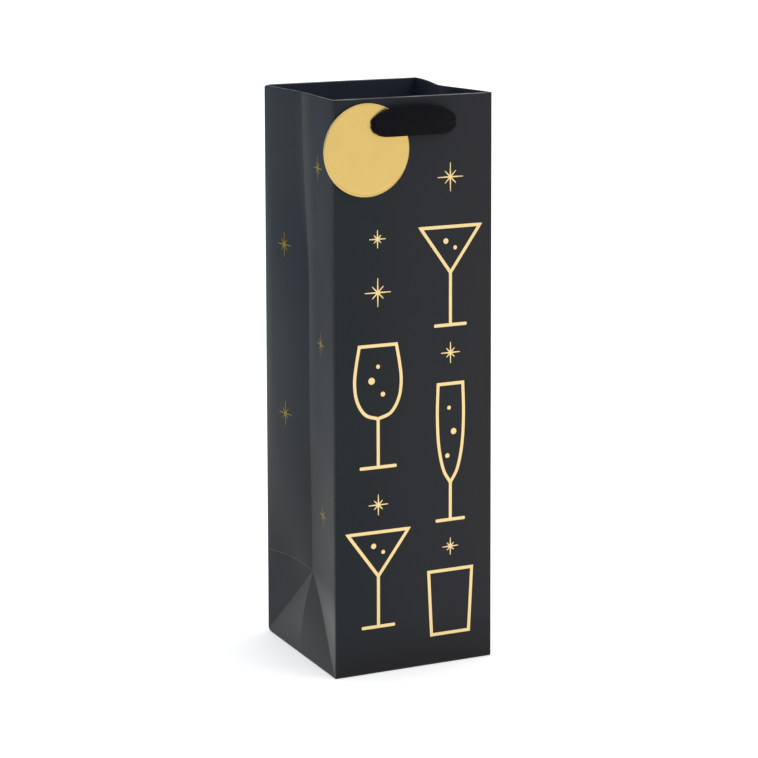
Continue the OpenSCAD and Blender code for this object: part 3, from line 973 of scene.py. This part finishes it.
def knot_piece(name, side, back):
    """An overhand knot: a flat strand along a trefoil, and the cut end below it."""
    centre = np.array([side * HOLE_X, (KNOT_LOW[1] + KNOT_HIGH[1]) / 2, KNOT_HIGH[2] - 5.0])
    turns = 120
    ring, tube = [], 12
    for i in range(turns):
        a = math.tau * i / turns
        x = math.sin(a) + 1.9 * math.sin(2 * a)
        z = math.cos(a) - 1.9 * math.cos(2 * a)
        y = -1.15 * math.sin(3 * a)
        ring.append((x * 1.15, y * 1.15, z * 1.12))
    ring = np.array(ring)
    ahead = np.roll(ring, -1, 0) - np.roll(ring, 1, 0)
    ahead /= np.linalg.norm(ahead, axis=1, keepdims=True)
    outward = ring / np.linalg.norm(ring, axis=1, keepdims=True)
    sideways = np.cross(ahead, outward)
    sideways /= np.linalg.norm(sideways, axis=1, keepdims=True)
    outward = np.cross(sideways, ahead)
    points, faces = [], []
    for i in range(turns):
        for k in range(tube):
            a = math.tau * k / tube
            offset = sideways[i] * 2.0 * math.cos(a) + outward[i] * 0.85 * math.sin(a)
            points.append(centre + ring[i] + offset)
    for i in range(turns):
        for k in range(tube):
            a, b = i * tube + k, i * tube + (k + 1) % tube
            c, d = ((i + 1) % turns) * tube + (k + 1) % tube, ((i + 1) % turns) * tube + k
            faces.append([a, b, c, d])
    rows, cols = 20, 13
    across = np.linspace(-1, 1, cols)
    end = np.zeros((rows, cols, 3))
    length = centre[2] - KNOT_LOW[2] - 1.5
    for i in range(rows):
        t = i / (rows - 1)
        half = 1.8 + 3.4 * float(ease(t / 0.7))
        end[i, :, 0] = centre[0] + across * half
        end[i, :, 1] = centre[1] + 0.5 * math.sin(t * 3) + 0.5 * (1 - t) * np.sin(2.6 * math.pi * across)
        end[i, :, 2] = centre[2] - 1.5 - length * t + 1.2 * across * t
    end_points, end_faces = slab(end, RIBBON_T)
    start = len(points)
    points = np.concatenate([np.array(points), end_points])
    faces += [[i + start for i in f] for f in end_faces]
    if back:
        points = points * np.array([-1, -1, 1])
    mesh = mesh_of(name, points, faces)
    layer = mesh.uv_layers.new(name="weave")
    index = np.zeros(len(mesh.loops), np.int32)
    mesh.loops.foreach_get("vertex_index", index)
    place = np.asarray(points)[index] * MM
    layer.data.foreach_set("uv", place[:, [2, 0]].astype(np.float32).ravel())
    obj = link(name, mesh, materials=(RIBBON,))
    return obj


def build_handle(word, back):
    handle, knots, pull = word + "_handle", word + "_knots", word + "_handle_pull"
    turn = -1 if back else 1
    band = ribbon_piece(word + "_band", band_grid(), back=back)
    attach(band, handle)
    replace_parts(band, word + "_ribbon")
    others = []
    for hand, side in (("left", -1), ("right", 1)):
        local = side * turn
        strand = ribbon_piece(f"{word}_strand_{hand}", strand_grid(local), 0.5, back)
        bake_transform(strand)
        neck = ribbon_piece(f"{word}_neck_{hand}", neck_grid(local), 0.8, back)
        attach(neck, "bag")
        tail = ribbon_piece(f"{word}_tail_{hand}_ribbon", tail_grid(local), back=back)
        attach(tail, "bag")
        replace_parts(tail, f"{word}_tail_{hand}")
        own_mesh(tail)
        knot = knot_piece(f"{word}_knot_{hand}_tied", local, back)
        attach(knot, knots)
        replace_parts(knot, f"{word}_knot_{hand}")
        others += [strand, neck, tail, knot]


build_handle("front", False)
build_handle("back", True)


# ---------------------------------------------------------------- gift tag
def build_tag():
    """A stamped disc: gold film on a card, with a soft edge and a slight bow. The hole is off its centre."""
    low, high = box_mm("tag_card")
    centre = (low + high) / 2
    radius = (high[0] - low[0]) / 2
    face_low, face_high = box_mm("tag_foil")
    hole = np.array([-HOLE_X, HOLE_Z])
    middle = np.array([centre[0], centre[2]])

    def disc(name, front_y, back_y, edge, material):
        around, rings = 160, 26
        points, faces = [], []
        for y_at, sign in ((front_y, 1), (back_y, -1)):
            for i in range(rings + 1):
                share = i / rings
                for k in range(around):
                    a = math.tau * k / around
                    direction = np.array([math.cos(a), math.sin(a)])
                    rim_point = middle + direction * radius
                    hole_point = hole + direction * HOLE_R
                    at = hole_point + (rim_point - hole_point) * share
                    rim_gap = radius - np.linalg.norm(at - middle)
                    hole_gap = np.linalg.norm(at - hole) - HOLE_R
                    drop = edge * max(0.0, 1 - min(rim_gap, hole_gap) / edge) ** 2 if edge else 0.0
                    bow = 0.16 * math.sin((at[0] - middle[0]) / radius * 2.1)
                    bow += 0.10 * math.cos((at[1] - middle[1]) / radius * 2.4)
                    points.append((at[0], y_at + sign * drop * 0.6 - 0.10 + bow * 0.6 + LEAN, at[1]))
        n = (rings + 1) * around
        for i in range(rings):
            for k in range(around):
                j = (k + 1) % around
                a, b, c, d = i * around + k, i * around + j, (i + 1) * around + j, (i + 1) * around + k
                faces.append([a, b, c, d])
                faces.append([n + d, n + c, n + b, n + a])
        for k in range(around):
            j = (k + 1) % around
            faces.append([j, k, n + k, n + j])
            a, b = rings * around + k, rings * around + j
            faces.append([a, b, n + b, n + a])
        mesh = mesh_of(name, points, faces)
        return link(name, mesh, "gift_tag", (material,))

    gold = disc("tag_face", face_low[1], face_high[1], 0.22, TAG_GOLD)
    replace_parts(gold, "tag_foil")
    card = disc("tag_back", low[1], high[1], 0.0, TAG_CARD)
    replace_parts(card, "tag_card")


build_tag()


# ---------------------------------------------------------------- floor, light and camera
def build_stage():
    bpy.ops.mesh.primitive_plane_add(size=90, location=(0, 0, -0.0001))
    floor = bpy.context.object
    floor.name = "floor"
    floor.data.materials.append(floor_material())


def build_sky():
    """Soft studio light: a bright ceiling over dimmer walls."""
    world = bpy.data.worlds.new("studio")
    bpy.context.scene.world = world
    world.use_nodes = True
    nodes, links = world.node_tree.nodes, world.node_tree.links
    w = Wire(nodes, links)
    direction = w.put("ShaderNodeSeparateXYZ", {0: w.put("ShaderNodeTexCoord").outputs["Generated"]}).outputs
    height = direction[2]
    level = w.ramp(height, 0.0, 0.95, WALL_LIGHT, CEILING_LIGHT)
    level = w.times(level, w.ramp(direction[0], -0.5, 0.15, LEFT_DIMMING, 1.0))
    links.new(level, nodes["Background"].inputs[1])
    tint = w.mix(w.ramp(height, 0.0, 0.6), rgb(0.72, 0.92, 1.12), rgb(1.0, 1.0, 1.0))
    links.new(tint, nodes["Background"].inputs[0])


def area_light(name, place, aim, size, power):
    data = bpy.data.lights.new(name, "AREA")
    data.shape = "RECTANGLE"
    data.size, data.size_y = size
    data.energy = power
    lamp = bpy.data.objects.new(name, data)
    bpy.context.scene.collection.objects.link(lamp)
    lamp.location = place
    lamp.rotation_euler = (Vector(aim) - Vector(place)).to_track_quat("-Z", "Y").to_euler()
    return lamp


WALL_LIGHT, CEILING_LIGHT, LEFT_DIMMING = 0.36, 1.48, 0.74
build_stage()
build_sky()
area_light("right_box", (1.5, -1.3, 1.5), (1.2, -1.1, 0.0), (1.2, 1.2), 8)

CAMERA_AT = Vector((-0.5906, -1.2654, 0.4690))
CAMERA_YAW, CAMERA_PITCH, CAMERA_ROLL = 0.4375, 0.2172, -0.0027
camera_data = bpy.data.cameras.new("camera")
camera_data.lens = 116.55
camera_data.sensor_width = 36
camera = bpy.data.objects.new("camera", camera_data)
bpy.context.scene.collection.objects.link(camera)
ahead = Vector((math.sin(CAMERA_YAW) * math.cos(CAMERA_PITCH), math.cos(CAMERA_YAW) * math.cos(CAMERA_PITCH),
                -math.sin(CAMERA_PITCH)))
camera.matrix_world = (Matrix.Translation(CAMERA_AT) @ ahead.to_track_quat("-Z", "Y").to_matrix().to_4x4()
                       @ Matrix.Rotation(CAMERA_ROLL, 4, "Z"))
bpy.context.scene.camera = camera
bpy.context.scene.view_settings.view_transform = "Standard"
